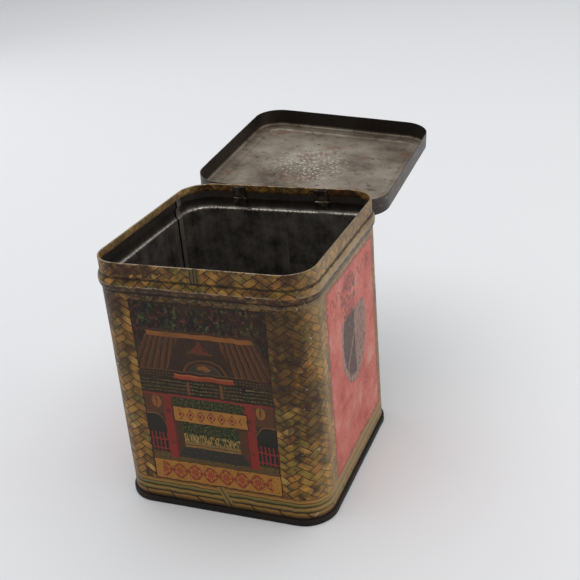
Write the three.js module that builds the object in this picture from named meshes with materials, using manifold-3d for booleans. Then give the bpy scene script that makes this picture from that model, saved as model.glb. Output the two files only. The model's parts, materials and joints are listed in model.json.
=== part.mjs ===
// A square lithographed tinplate canister with a hinged lid, lying open.
// Millimetres, +Z up. X runs along the front wall, Y from front to back.
// The origin is the centre of the rim that the tin stands on.
import * as THREE from 'three';
import { mergeVertices } from 'three/addons/utils/BufferGeometryUtils.js';
import Module from 'manifold-3d';

const wasm = await Module();
wasm.setup();

// Body: outer faces of the flat walls
const bodyWidth = 82;
const bodyDepth = 84;
const bodyHeight = 99.5;
const cornerRadius = 11.4;
const wallSheet = 0.32;

// Hem folded inwards along the rim
const hemDepth = 2.4;
const hemGap = 0.1;

// Bead rolled round the shoulder, just under the neck that the lid covers
const beadHeight = 5;
const beadProud = 0.95;
const neckHeight = 5.8;

// Lap seam up the inside of the left wall
const lapWidth = 3.6;
const lapSheet = 0.3;
const lapY = 28.4;
const lapTopGap = 0.6;

// Seam that holds the base to the wall, and the base's panel
const baseSheet = 0.3;
const seamProud = 0.9;
const seamHeight = 2.5;
const seamGap = 0.15;
const panelRise = 2.2;
const baseStepInset = 6;
const baseStep = 0.5;

// Lid
const lidSheet = 0.3;
const lidClearance = 0.5;
const lidHeight = 7.7;
const lidEdgeRadius = 1.2;
const lidStepInset = 5;
const lidStep = 0.6;
const lidOverBead = 0.1;
const rollDrop = 0.1;

// Hinge wire, rolled into the lid's rear edge
const wireRadius = 0.5;
const wireClearance = 0.1;
const rollSheet = 0.3;
const rollLength = 49;
const rollGap = 0.3;
const wireInset = 0.5;
const rollSlit = 0.2;

// Two tinplate straps, each bent round the wire and through a window in the neck
const strapX = [-18.5, 17.2];
const strapWidth = 5.6;
const strapSheet = 0.3;
const strapBend = 0.3;
const strapTail = 3.2;
const windowGap = 0.15;
const notchGap = 0.7;

// How the lid lies when open: its angle from closed, and how far the loose wire
// has lifted at the left strap
const openAngle = 174.4;
const sagAngle = 4.8;

const cornerSteps = 10;

// ---------------------------------------------------------------- helpers

const point = (x, y) => new THREE.Vector2(x, y);
const radians = THREE.MathUtils.degToRad;

// Points of an arc, from one angle to another in degrees
function arc(cx, cy, radius, from, to, steps) {
  const curve = new THREE.EllipseCurve(
    cx, cy, radius, radius, radians(from), radians(to), to < from);
  return curve.getPoints(steps);
}

// A closed mesh as a solid for cutting and joining
function solid(geometry) {
  const bare = geometry.clone();
  bare.deleteAttribute('normal');
  bare.deleteAttribute('uv');
  const merged = mergeVertices(bare, 1e-5);
  const index = merged.index.array;
  const triangles = [];
  for (let i = 0; i < index.length; i += 3) {
    const [a, b, c] = index.subarray(i, i + 3);
    if (a !== b && b !== c && c !== a) triangles.push(a, b, c);
  }
  return new wasm.Manifold(new wasm.Mesh({
    numProp: 3,
    vertProperties: new Float32Array(merged.attributes.position.array),
    triVerts: new Uint32Array(triangles),
  }));
}

function geometryOf(body) {
  const mesh = body.getMesh();
  const geometry = new THREE.BufferGeometry();
  geometry.setAttribute('position', new THREE.BufferAttribute(mesh.vertProperties, 3));
  geometry.setIndex(new THREE.BufferAttribute(mesh.triVerts, 1));
  geometry.computeVertexNormals();
  return geometry;
}

// Carries a profile once round the tin's rounded-square outline. A profile point is
// (distance outside the wall's outer face, height); a point on the axis has x = -Infinity.
// The outline is a lathed corner whose four quarters are moved apart.
function around(profile) {
  const columns = 4 * (cornerSteps + 1);
  const radius = (p) => (p.x === -Infinity ? 0 : cornerRadius + p.x);
  const lathe = new THREE.LatheGeometry(profile.map((p) => point(1, p.y)), columns);
  const position = lathe.attributes.position;
  const centreX = bodyWidth / 2 - cornerRadius;
  const centreY = bodyDepth / 2 - cornerRadius;
  for (let i = 0; i < position.count; i++) {
    const column = Math.floor(i / profile.length) % columns;
    const p = profile[i % profile.length];
    const quarter = Math.floor(column / (cornerSteps + 1));
    const step = column % (cornerSteps + 1);
    const angle = Math.PI * (0.5 * (quarter + step / cornerSteps));
    const middle = Math.PI * (0.5 * quarter + 0.25);
    const onAxis = p.x === -Infinity;
    const x = onAxis ? 0 : Math.sign(Math.cos(middle)) * centreX + radius(p) * Math.cos(angle);
    const y = onAxis ? 0 : Math.sign(Math.sin(middle)) * centreY + radius(p) * Math.sin(angle);
    position.setXYZ(i, x, y, p.y);
  }
  return solid(lathe);
}

function box(x0, x1, y0, y1, z0, z1) {
  const geometry = new THREE.BoxGeometry(x1 - x0, y1 - y0, z1 - z0);
  geometry.translate((x0 + x1) / 2, (y0 + y1) / 2, (z0 + z1) / 2);
  return solid(geometry);
}

// A round bar along X through (y, z)
function barAlongX(x0, x1, y, z, radius, sides) {
  const geometry = new THREE.CylinderGeometry(radius, radius, x1 - x0, sides);
  geometry.rotateZ(Math.PI / 2);
  geometry.translate((x0 + x1) / 2, y, z);
  return solid(geometry);
}

// ---------------------------------------------------------------- places

const rearFace = bodyDepth / 2;
const beadTop = bodyHeight - neckHeight;
const beadBottom = beadTop - beadHeight;
const lidFreeEdge = beadTop - lidOverBead;
const lidTop = lidFreeEdge + lidHeight;
const rollRadius = wireRadius + wireClearance + rollSheet;
const wireY = rearFace + rollGap + rollRadius;
const wireZ = lidFreeEdge + rollRadius - rollDrop;
const sagX = Math.max(...strapX) + strapWidth / 2;
const wireTravel = (sagX - Math.min(...strapX) + strapWidth / 2) * Math.sin(radians(sagAngle));
const loopBottom = wireZ - wireRadius - wireClearance;
const loopTop = wireZ + wireTravel + wireRadius + wireClearance;
const hemFace = -2 * wallSheet - hemGap;
const windowBottom = loopBottom - strapSheet - windowGap;
const windowTop = loopTop + strapSheet + windowGap;

// ---------------------------------------------------------------- body wall

// The bead's outline, stood off the wall's outer face by `offset`
function beadArc(offset) {
  const points = [];
  const steps = 8;
  for (let i = 0; i <= steps; i++) {
    const t = i / steps;
    const proud = beadProud * Math.sqrt(Math.max(0, 1 - (2 * t - 1) ** 2));
    points.push(point(offset + proud, beadBottom + t * beadHeight));
  }
  return points;
}

function bodyWall() {
  const flangeUnder = baseSheet + seamGap;
  const flangeReach = seamProud - baseSheet - seamGap;
  const foldRadius = (2 * wallSheet + hemGap) / 2;
  const outside = [
    ...arc(0.1, flangeUnder + wallSheet + 0.1, 0.1, 270, 180, 2),
    ...beadArc(0),
    ...arc(-foldRadius, bodyHeight - foldRadius, foldRadius, 0, 180, 6),
  ];
  const inside = [
    point(hemFace, bodyHeight - hemDepth),
    point(hemFace + wallSheet, bodyHeight - hemDepth),
    point(hemFace + wallSheet, bodyHeight - foldRadius),
    point(-wallSheet, bodyHeight - foldRadius),
    ...beadArc(-wallSheet).reverse(),
    ...arc(0.1, flangeUnder + wallSheet + 0.1, wallSheet + 0.1, 180, 270, 3),
  ];
  const flangeEdge = [
    point(flangeReach, flangeUnder),
    point(flangeReach, flangeUnder + wallSheet),
  ];
  const loop = [...outside, ...inside, ...flangeEdge];
  let wall = around([...loop, loop[0].clone()]);

  const bond = wallSheet / 4;
  const lapBottom = panelRise + baseSheet + 2 * seamGap;
  const lapTop = bodyHeight - hemDepth - lapTopGap;
  const lapLoop = [
    point(-wallSheet + bond, lapBottom),
    ...beadArc(-wallSheet + bond),
    point(-wallSheet + bond, lapTop),
    point(-wallSheet - lapSheet, lapTop),
    ...beadArc(-wallSheet - lapSheet).reverse(),
    point(-wallSheet - lapSheet, lapBottom),
  ];
  const lap = around([...lapLoop, lapLoop[0].clone()]).intersect(
    box(-bodyWidth, 0, lapY - lapWidth / 2, lapY + lapWidth / 2, 0, bodyHeight));
  wall = wall.add(lap);

  for (const x of strapX) {
    const half = strapWidth / 2 + windowGap * 2;
    wall = wall.subtract(box(
      x - half, x + half, rearFace - 2, rearFace + 2, windowBottom, windowTop));
  }
  return wall;
}

// ---------------------------------------------------------------- base

function baseEnd() {
  const chuck = -wallSheet - seamGap;
  const lip = seamGap;
  const round = 0.25;
  const raised = panelRise + baseSheet;
  return around([
    point(-Infinity, panelRise + baseStep),
    point(-baseStepInset - baseSheet - baseStep, panelRise + baseStep),
    point(-baseStepInset - baseSheet, panelRise),
    point(chuck - baseSheet, panelRise),
    ...arc(chuck - baseSheet + round, round, round, 180, 270, 3),
    ...arc(seamProud - round, round, round, -90, 0, 3),
    ...arc(seamProud - round, seamHeight - round, round, 0, 90, 3),
    point(lip, seamHeight),
    point(lip, seamHeight - baseSheet),
    point(seamProud - baseSheet, seamHeight - baseSheet),
    point(seamProud - baseSheet, baseSheet),
    point(chuck, baseSheet),
    ...arc(chuck - round, raised - round, round, 0, 90, 2),
    point(-baseStepInset, raised),
    point(-baseStepInset - baseStep, raised + baseStep),
    point(-Infinity, raised + baseStep),
  ]);
}

// ---------------------------------------------------------------- lid, shut

function lidShut() {
  const inner = lidClearance;
  const outer = lidClearance + lidSheet;
  const under = lidTop - lidSheet;
  const shell = around([
    point(-Infinity, under + lidStep),
    point(-lidStepInset - lidStep, under + lidStep),
    point(-lidStepInset, under),
    ...arc(outer - lidEdgeRadius, lidTop - lidEdgeRadius, lidEdgeRadius - lidSheet, 90, 0, 4),
    point(inner, lidFreeEdge),
    point(outer, lidFreeEdge),
    ...arc(outer - lidEdgeRadius, lidTop - lidEdgeRadius, lidEdgeRadius, 0, 90, 5),
    point(-lidStepInset, lidTop),
    point(-lidStepInset - lidStep, lidTop + lidStep),
    point(-Infinity, lidTop + lidStep),
  ]);
  const end = rollLength / 2;
  const bore = wireRadius + wireClearance;
  const slit = new THREE.BoxGeometry(rollLength + 2, rollSlit, 2 * rollRadius);
  slit.translate(0, 0, rollRadius);
  slit.rotateX(radians(-35));
  slit.translate(0, wireY, wireZ);
  let lid = shell
    .add(barAlongX(-end, end, wireY, wireZ, rollRadius, 20))
    .subtract(barAlongX(-end - 1, end + 1, wireY, wireZ, bore, 20))
    .subtract(solid(slit));
  const notchTop = loopTop + strapSheet + notchGap / 2;
  for (const x of strapX) {
    const half = strapWidth / 2 + notchGap;
    lid = lid.subtract(box(
      x - half, x + half, rearFace + lidClearance / 2, rearFace + 4, lidFreeEdge - 2, notchTop));
  }
  return lid;
}

// ---------------------------------------------------------------- hinge

function hingeWire() {
  const end = rollLength / 2 - wireInset;
  return barAlongX(-end, end, wireY, wireZ, wireRadius, 16);
}

// The outline of a bent strip: its middle line, with round bends, widened both ways
function bentStrip(corners, sheet, bend) {
  const line = [corners[0]];
  for (let i = 1; i < corners.length - 1; i++) {
    const back = corners[i - 1].clone().sub(corners[i]).normalize();
    const on = corners[i + 1].clone().sub(corners[i]).normalize();
    const start = corners[i].clone().addScaledVector(back, bend);
    const finish = corners[i].clone().addScaledVector(on, bend);
    line.push(...new THREE.QuadraticBezierCurve(start, corners[i], finish).getPoints(4));
  }
  line.push(corners.at(-1));
  const left = [];
  const right = [];
  line.forEach((p, i) => {
    const before = line[Math.max(i - 1, 0)];
    const after = line[Math.min(i + 1, line.length - 1)];
    const side = after.clone().sub(before).normalize().rotateAround(point(0, 0), Math.PI / 2);
    left.push(p.clone().addScaledVector(side, sheet / 2));
    right.push(p.clone().addScaledVector(side, -sheet / 2));
  });
  return [...left, ...right.reverse()];
}

// A strap comes out of the window's top, round the wire and back in at the bottom. Inside,
// its upper leg turns down over the window, and its lower leg ends in a flat tail.
function hingeStrap(x) {
  const half = strapSheet / 2;
  const back = wireY + wireRadius + wireClearance + half;
  const upperFace = rearFace + hemFace - windowGap - half;
  const lowerFace = rearFace - wallSheet - windowGap - half;
  const top = loopTop + half;
  const bottom = loopBottom - half;
  const outline = bentStrip([
    point(upperFace, bottom + 2 * strapSheet),
    point(upperFace, top),
    point(back, top),
    point(back, bottom),
    point(lowerFace, bottom),
    point(lowerFace, bottom - strapTail),
  ], strapSheet, strapBend);
  const geometry = new THREE.ExtrudeGeometry(new THREE.Shape(outline), {
    depth: strapWidth, bevelEnabled: false, steps: 1,
  });
  geometry.rotateX(Math.PI / 2);
  geometry.rotateZ(Math.PI / 2);
  geometry.translate(x - strapWidth / 2, 0, 0);
  return solid(geometry);
}

// ---------------------------------------------------------------- open pose

// The wire's tilt in its loops, about a line along Y at the right strap
const sag = new THREE.Matrix4()
  .makeTranslation(sagX, wireY, wireZ)
  .multiply(new THREE.Matrix4().makeRotationY(radians(sagAngle)))
  .multiply(new THREE.Matrix4().makeTranslation(-sagX, -wireY, -wireZ));

// The lid's turn about the wire
const swing = new THREE.Matrix4()
  .makeTranslation(0, wireY, wireZ)
  .multiply(new THREE.Matrix4().makeRotationX(radians(-openAngle)))
  .multiply(new THREE.Matrix4().makeTranslation(0, -wireY, -wireZ));

// ---------------------------------------------------------------- the tin

function piece(name, body, color, roughness, metalness, place) {
  const geometry = geometryOf(body);
  if (place) geometry.applyMatrix4(place);
  const material = new THREE.MeshStandardMaterial({ color, roughness, metalness });
  const mesh = new THREE.Mesh(geometry, material);
  mesh.name = name;
  return mesh;
}

const tin = new THREE.Group();
tin.add(piece('body_wall', bodyWall(), 0xa8753a, 0.5, 0.3));
tin.add(piece('base_end', baseEnd(), 0x4a4038, 0.6, 0.6));
tin.add(piece('lid', lidShut(), 0x8c8472, 0.5, 0.6, sag.clone().multiply(swing)));
tin.add(piece('hinge_wire', hingeWire(), 0x6a6258, 0.45, 0.8, sag));
tin.add(piece('hinge_strap_left', hingeStrap(strapX[0]), 0x5b5248, 0.5, 0.7));
tin.add(piece('hinge_strap_right', hingeStrap(strapX[1]), 0x5b5248, 0.5, 0.7));

export default tin;
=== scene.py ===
import bmesh
import bpy
import json
import math
from mathutils import Matrix, Vector, noise


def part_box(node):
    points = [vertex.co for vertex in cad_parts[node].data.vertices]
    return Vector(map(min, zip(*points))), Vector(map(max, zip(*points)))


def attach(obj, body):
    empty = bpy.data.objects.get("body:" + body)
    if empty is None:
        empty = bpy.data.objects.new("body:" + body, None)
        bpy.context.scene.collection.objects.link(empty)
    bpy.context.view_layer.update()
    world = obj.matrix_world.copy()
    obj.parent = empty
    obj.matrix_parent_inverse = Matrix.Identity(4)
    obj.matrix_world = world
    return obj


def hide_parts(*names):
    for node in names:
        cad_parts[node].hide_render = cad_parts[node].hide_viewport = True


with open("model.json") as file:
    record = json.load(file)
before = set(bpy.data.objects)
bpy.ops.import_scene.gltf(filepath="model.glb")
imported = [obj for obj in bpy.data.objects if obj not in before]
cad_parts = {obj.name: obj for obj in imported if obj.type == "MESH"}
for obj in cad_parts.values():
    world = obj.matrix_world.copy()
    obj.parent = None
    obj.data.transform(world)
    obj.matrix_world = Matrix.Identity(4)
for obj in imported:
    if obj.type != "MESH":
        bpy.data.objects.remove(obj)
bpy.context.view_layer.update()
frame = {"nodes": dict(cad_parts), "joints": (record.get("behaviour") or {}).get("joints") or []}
scene = bpy.context.scene
scene.view_settings.view_transform = "Standard"  # colours come out as they are mixed
mm = 0.001
upZ = Vector((0, 0, 1))

# What every piece of the tin shares. Sizes are in metres once multiplied by mm.
tin = {
    "cornerRadius": 11.4 * mm,
    "wallSheet": 0.32 * mm,
    "beadProud": 0.95 * mm,
    "gridStep": 2.6 * mm,     # spacing of the mesh along the flat walls
    "cornerSteps": 14,
    "placeMap": "roundTheTin",  # UV map: millimetres round the tin, millimetres up
}

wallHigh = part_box("body_wall")[1]
halfWidth = wallHigh.x - tin["beadProud"]
halfDepth = wallHigh.y - tin["beadProud"]
straightX = halfWidth - tin["cornerRadius"]
straightY = halfDepth - tin["cornerRadius"]
quarter = straightX + straightY + tin["cornerRadius"] * math.pi / 2  # front's middle to a side's middle


# Shaping: the functions that more than one piece uses

def wallFacing(point):
    # which way the wall faces at a point, and how far outside the wall's face it lies
    out = Vector((
        point.x - max(-straightX, min(straightX, point.x)),
        point.y - max(-straightY, min(straightY, point.y)), 0))
    return (out.normalized(), out.length - tin["cornerRadius"]) if out.length else (upZ, -1.0)


def roundTheTin(point):
    # distance round the tin from the middle of the front, rising towards the right side
    beyondX = max(abs(point.x) - straightX, 0)
    beyondY = max(abs(point.y) - straightY, 0)
    turn = math.atan2(beyondX, beyondY) if beyondX or beyondY else math.pi / 4
    reach = min(abs(point.x), straightX) + tin["cornerRadius"] * turn
    reach += straightY - min(abs(point.y), straightY)
    return math.copysign(reach if point.y < 0 else 2 * quarter - reach, point.x)


def sweepRound(mesh, profile, closed=True):
    # carries a profile of (distance outside the wall's face, height) once round the tin
    ring = [mesh.verts.new((0, -halfDepth - out, height)) for out, height in profile]
    pairs = list(zip(ring, ring[1:])) + ([(ring[-1], ring[0])] if closed else [])
    front = ring + [mesh.edges.new(pair) for pair in pairs]
    legs = [(1, 0, straightX), (0, 1, 2 * straightY), (-1, 0, 2 * straightX),
            (0, -1, 2 * straightY), (1, 0, straightX)]
    corners = [(1, -1), (1, 1), (-1, 1), (-1, -1)]
    for i, (dx, dy, length) in enumerate(legs):
        steps = round(length / tin["gridStep"])
        front = bmesh.ops.spin(
            mesh, geom=front, cent=(0, 0, 0), axis=upZ, angle=0, steps=steps,
            dvec=Vector((dx, dy, 0)) * length / steps)["geom_last"]
        if i < len(corners):
            centre = (corners[i][0] * straightX, corners[i][1] * straightY, 0)
            front = bmesh.ops.spin(
                mesh, geom=front, cent=centre, axis=upZ, angle=math.pi / 2,
                steps=tin["cornerSteps"])["geom_last"]
    bmesh.ops.remove_doubles(mesh, verts=mesh.verts, dist=0.002 * mm)


def fillPanels(mesh):
    # closes the open rings of a swept profile with flat panels, cut into a grid that can carry dents
    rims = [edge for edge in mesh.edges if edge.is_boundary]
    panels = bmesh.ops.holes_fill(mesh, edges=rims, sides=0)["faces"]
    geom = panels + list({e for f in panels for e in f.edges} | {v for f in panels for v in f.verts})
    for axis, half in ((Vector((1, 0, 0)), halfWidth), (Vector((0, 1, 0)), halfDepth)):
        count = int(half / tin["gridStep"])
        for i in range(-count, count + 1):
            geom = bmesh.ops.bisect_plane(
                mesh, geom=geom, plane_co=axis * i * tin["gridStep"], plane_no=axis,
                dist=0.002 * mm)["geom"]


def pushLoop(mesh, points, along, steps):
    # carries a closed loop of points straight along, and closes both of its ends
    ring = [mesh.verts.new(point) for point in points]
    edges = [mesh.edges.new(pair) for pair in zip(ring, ring[1:] + ring[:1])]
    moved = bmesh.ops.spin(
        mesh, geom=ring + edges, cent=(0, 0, 0), axis=upZ, angle=0, steps=steps,
        dvec=[reach / steps for reach in along])["geom_last"]
    lastEdges = [each for each in moved if isinstance(each, bmesh.types.BMEdge)]
    for rim in (edges, lastEdges):
        bmesh.ops.holes_fill(mesh, edges=rim, sides=0)


def arcPoints(cx, cy, radius, start, end, steps):
    # points of an arc between two angles in degrees
    angles = [math.radians(start + (end - start) * i / steps) for i in range(steps + 1)]
    return [(cx + radius * math.cos(a), cy + radius * math.sin(a)) for a in angles]


def rise(low, high, offset):
    # an even run of points straight up a wall
    steps = max(1, round(abs(high - low) / tin["gridStep"]))
    return [(offset, low + (high - low) * i / steps) for i in range(steps + 1)]


def newObject(name, data):
    thing = bpy.data.objects.new(name, data)
    scene.collection.objects.link(thing)
    return thing


def finishPiece(name, mesh, body, replaced, sharpAngle=35):
    data = bpy.data.meshes.new(name)
    mesh.to_mesh(data)
    mesh.free()
    data.shade_smooth()
    data.set_sharp_from_angle(angle=math.radians(sharpAngle))
    piece = newObject(name, data)
    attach(piece, body)
    if replaced:
        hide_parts(replaced)
    return piece


def cutOut(mesh, boxes):
    # takes box-shaped openings out of a mesh, and gives it back as a fresh bmesh
    pair = [newObject(name, bpy.data.meshes.new(name)) for name in ("blank", "cutter")]
    bmesh.ops.recalc_face_normals(mesh, faces=mesh.faces)
    mesh.to_mesh(pair[0].data)
    mesh.free()
    blocks = bmesh.new()
    for low, high in boxes:
        low, high = Vector(low), Vector(high)
        size = Matrix.Diagonal((*(high - low), 1))
        bmesh.ops.create_cube(blocks, size=1, matrix=Matrix.Translation((low + high) / 2) @ size)
    blocks.to_mesh(pair[1].data)
    blocks.free()
    cut = pair[0].modifiers.new("openings", "BOOLEAN")
    cut.object = pair[1]
    cut.solver = "EXACT"
    result = bmesh.new()
    result.from_object(pair[0], bpy.context.evaluated_depsgraph_get())
    for each in pair:
        bpy.data.objects.remove(each)
    return result


def placeMap(mesh):
    # the UV map that the printed pattern follows: millimetres round the tin and up
    layer = mesh.loops.layers.uv.new(tin["placeMap"])
    for face in mesh.faces:
        middle = roundTheTin(face.calc_center_median())
        for loop in face.loops:
            reach = roundTheTin(loop.vert.co)
            if abs(reach - middle) > quarter:  # the face that closes the loop at the back
                reach += math.copysign(4 * quarter, middle)
            loop[layer].uv = (reach / mm, loop.vert.co.z / mm)


def markInside(mesh, test):
    # gives the faces that look into the tin or the lid their own finish
    bmesh.ops.recalc_face_normals(mesh, faces=mesh.faces)
    for face in mesh.faces:
        if test(face, face.calc_center_median()):
            face.material_index = 1


def fade(value, low, high):
    # rises smoothly from 0 at low to 1 at high
    t = max(0.0, min(1.0, (value - low) / (high - low)))
    return t * t * (3 - 2 * t)


# Shaders: the functions that more than one finish uses

def linear(hexColour):
    # an sRGB hex colour as linear light
    parts = [int(hexColour[i:i + 2], 16) / 255 for i in (1, 3, 5)]
    return (*[c / 12.92 if c <= 0.04045 else ((c + 0.055) / 1.055) ** 2.4 for c in parts], 1)


def add(tree, kind, feeds=(), out=0, stops=None, **settings):
    # adds a node, sets it up, links or fills its inputs by name or in order, and gives one of its
    # outputs. The kind can end in an operation, and None leaves an input as it is. Noise is fed
    # (where, None, scale, detail, roughness), a map range (value, low, high, start, end).
    kind, *operation = kind.split()
    node = tree.nodes.new("ShaderNode" + kind)
    if operation:
        node.operation = operation[0]
    for name, value in settings.items():
        setattr(node, name, value)
    for socket, value in (feeds if isinstance(feeds, dict) else dict(enumerate(feeds))).items():
        if isinstance(value, bpy.types.NodeSocket):
            tree.links.new(value, node.inputs[socket])
        elif value is not None:
            node.inputs[socket].default_value = linear(value) if isinstance(value, str) else value
    for i, (place, colour) in enumerate(stops or []):
        ramp = node.color_ramp.elements
        if i == 0:
            ramp.remove(ramp[1])
        stop = ramp.new(place) if i else ramp[0]
        stop.position = place
        stop.color = linear(colour)
    return node.outputs[out] if node.outputs else node


def newMaterial(name):
    material = bpy.data.materials.new(name)
    material.use_nodes = True
    material.node_tree.nodes.clear()
    return material, material.node_tree


def closeMaterial(tree, colour, metallic, roughness, height, relief, **fixed):
    # ends a material in one shader, with its relief in metres as bump
    normal = add(tree, "Bump", {"Height": height, "Strength": 1.0, "Distance": relief})
    feeds = {"Base Color": colour, "Metallic": metallic, "Roughness": roughness, "Normal": normal}
    feeds.update({name.replace("_", " "): value for name, value in fixed.items()})
    shader = add(tree, "BsdfPrincipled", feeds)
    add(tree, "OutputMaterial", {"Surface": shader})


def away(tree, value, middle=0.0):
    # distance from a middle line
    offset = add(tree, "Math SUBTRACT", (value, middle))
    return add(tree, "Math ABSOLUTE", (offset,))


def over(tree, under, layers, at=(), blend="MIX"):
    # lays inks one above another: each is (where it shows, its colour, its strength if not 1);
    # where it shows may be four numbers, the left, right, low and high of a rectangle at (u, v)
    for mask, colour, *strength in layers:
        if isinstance(mask, tuple):
            mask = block(tree, *at, *mask)
        if strength:
            mask = overlap(tree, mask, strength[0])
        feeds = {0: mask, 6: under, 7: colour}
        under = add(tree, "Mix", feeds, out=2, data_type="RGBA", blend_type=blend)
    return under


def band(tree, value, middle, reach):
    # 1 where a value is within reach of its middle
    return add(tree, "Math COMPARE", (value, middle, reach))


def block(tree, u, v, left, right, low, high):
    # 1 inside an upright rectangle
    across = band(tree, u, (left + right) / 2, (right - left) / 2)
    up = band(tree, v, (low + high) / 2, (high - low) / 2)
    return overlap(tree, across, up)


def overlap(tree, shape, *others):
    # where shapes overlap
    for other in others:
        shape = add(tree, "Math MULTIPLY", (shape, other))
    return shape


print("frame loaded, tools ready")


# The wall: neck, rolled bead, hem and lap seam

wall = {
    "bottom": 0.7 * mm,
    "neckHeight": 5.8 * mm,
    "beadHeight": 5.0 * mm,
    "beadSteps": 14,
    "hemDepth": 2.4 * mm,
    "hemGap": 0.1 * mm,
    "lapMiddle": 28.4 * mm,    # the side seam, inside the left wall
    "lapWidth": 3.6 * mm,
    "lapSheet": 0.3 * mm,
    "lapBond": 0.8,            # how deep the strip sits in the wall's sheet, as a share of it
    "lapTopGap": 0.6 * mm,     # under the hem
    "lapFootGap": 0.3 * mm,    # above the base
    "windowSide": 0.3 * mm,    # room beside a hinge strap in its window
    "windowTop": 0.15 * mm,
    "windowBottom": 2.9 * mm,  # above the end of the strap's tail
    "bow": 0.22 * mm,          # how far the flat walls sink at their middle
    "dents": 0.34 * mm,
    "ripples": 0.05 * mm,
    "rimWave": 0.16 * mm,
    "hingeReach": 32 * mm,     # either side of the back's middle, kept true for the hinge
}
rimZ = wallHigh.z
beadTop = rimZ - wall["neckHeight"]
beadBottom = beadTop - wall["beadHeight"]
strapBoxes = [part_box("hinge_strap_left"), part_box("hinge_strap_right")]


def beadPoints(offset):
    middle, half = (beadTop + beadBottom) / 2, (beadTop - beadBottom) / 2
    return [(offset + tin["beadProud"] * math.cos(a), middle + half * math.sin(a))
            for a in (math.pi * (i / wall["beadSteps"] - 0.5) for i in range(wall["beadSteps"] + 1))]


def wallProfile():
    sheet = tin["wallSheet"]
    fold = sheet + wall["hemGap"] / 2
    foldZ = rimZ - fold
    hemFace = -2 * sheet - wall["hemGap"]
    hemZ = rimZ - wall["hemDepth"]
    outer = rise(wall["bottom"], beadBottom, 0)[:-1] + beadPoints(0) + rise(beadTop, foldZ, 0)[1:-1]
    hem = arcPoints(-fold, foldZ, fold, 0, 180, 10) + [
        (hemFace, hemZ), (hemFace + sheet, hemZ), (hemFace + sheet, foldZ), (-sheet, foldZ)]
    inner = rise(foldZ, beadTop, -sheet)[1:-1] + beadPoints(-sheet)[::-1]
    return outer + hem + inner + rise(beadBottom, wall["bottom"], -sheet)[1:]


def addLapSeam(mesh):
    # the strip where the sheet's two ends are joined, up the inside of the left wall
    bare = set(mesh.faces)
    top = rimZ - wall["hemDepth"] - wall["lapTopGap"]
    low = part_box("base_end")[1].z + wall["lapFootGap"]
    faces = (-tin["wallSheet"] * wall["lapBond"], -tin["wallSheet"] - wall["lapSheet"])
    outer, inner = (
        rise(low, beadBottom, offset)[:-1] + beadPoints(offset) + rise(beadTop, top, offset)[1:]
        for offset in faces)
    start = wall["lapMiddle"] - wall["lapWidth"] / 2
    outline = [(-halfWidth - out, start, height) for out, height in outer + inner[::-1]]
    pushLoop(mesh, outline, (0, wall["lapWidth"], 0), 3)
    added = [face for face in mesh.faces if face not in bare]
    bmesh.ops.recalc_face_normals(mesh, faces=added)
    for face in added:
        face.material_index = 1


def wearWall(mesh):
    # sinks, dents and ripples, always inwards, so that the wall stays in its box
    for vert in mesh.verts:
        facing, _ = wallFacing(vert.co)
        around, z = roundTheTin(vert.co), vert.co.z
        flat = max(0.0, 1 - ((abs(vert.co.x) if abs(facing.y) > 0.5 else abs(vert.co.y)) / straightX) ** 2)
        free = fade(z, 4 * mm, 22 * mm) * (1 - fade(z, 70 * mm, 87 * mm))
        slow = max(0.0, noise.noise(vert.co / (19 * mm) + Vector((3.1, 0, 0))))
        quick = noise.noise(vert.co / (5 * mm)) + 1
        anywhere = fade(z, 4 * mm, 9 * mm) * (1 - fade(z, rimZ - 0.9 * mm, rimZ) * 0.5)
        sink = wall["bow"] * flat * free + wall["dents"] * slow * free
        sink += wall["ripples"] * quick * anywhere
        if abs(around) < 2 * quarter - wall["hingeReach"] or z < beadTop:  # clear of the hinge
            vert.co -= facing * sink
            wave = noise.noise(Vector((vert.co.x, vert.co.y, 0)) / (24 * mm)) + 1
            vert.co.z -= wall["rimWave"] * wave * fade(z, beadTop, rimZ) * 0.5


def wallLooksIn(face, at):
    return face.normal.dot(wallFacing(at)[0]) < 0 and at.z < rimZ - wall["hemDepth"]


mesh = bmesh.new()
sweepRound(mesh, wallProfile())
windows = [((low.x - wall["windowSide"], halfDepth - 2 * mm, low.z + wall["windowBottom"]),
            (high.x + wall["windowSide"], halfDepth + 2 * mm, high.z + wall["windowTop"]))
           for low, high in strapBoxes]
mesh = cutOut(mesh, windows)
markInside(mesh, wallLooksIn)
addLapSeam(mesh)
placeMap(mesh)
wearWall(mesh)
tinWall = finishPiece("tin_wall", mesh, "can", "body_wall")
print("wall shaped", len(tinWall.data.polygons))


# The base: a double seam and a panel

base = {
    "sheet": 0.3 * mm,
    "proud": 0.9 * mm,
    "seamGap": 0.15 * mm,
    "seamHeight": 2.5 * mm,
    "panelRise": 2.2 * mm,
    "stepInset": 6 * mm,
    "step": 0.5 * mm,
    "knocks": 0.12 * mm,
    "roundness": 0.42 * mm,
    "panelBend": 0.25 * mm,
    "sag": 0.25 * mm,
}


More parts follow.
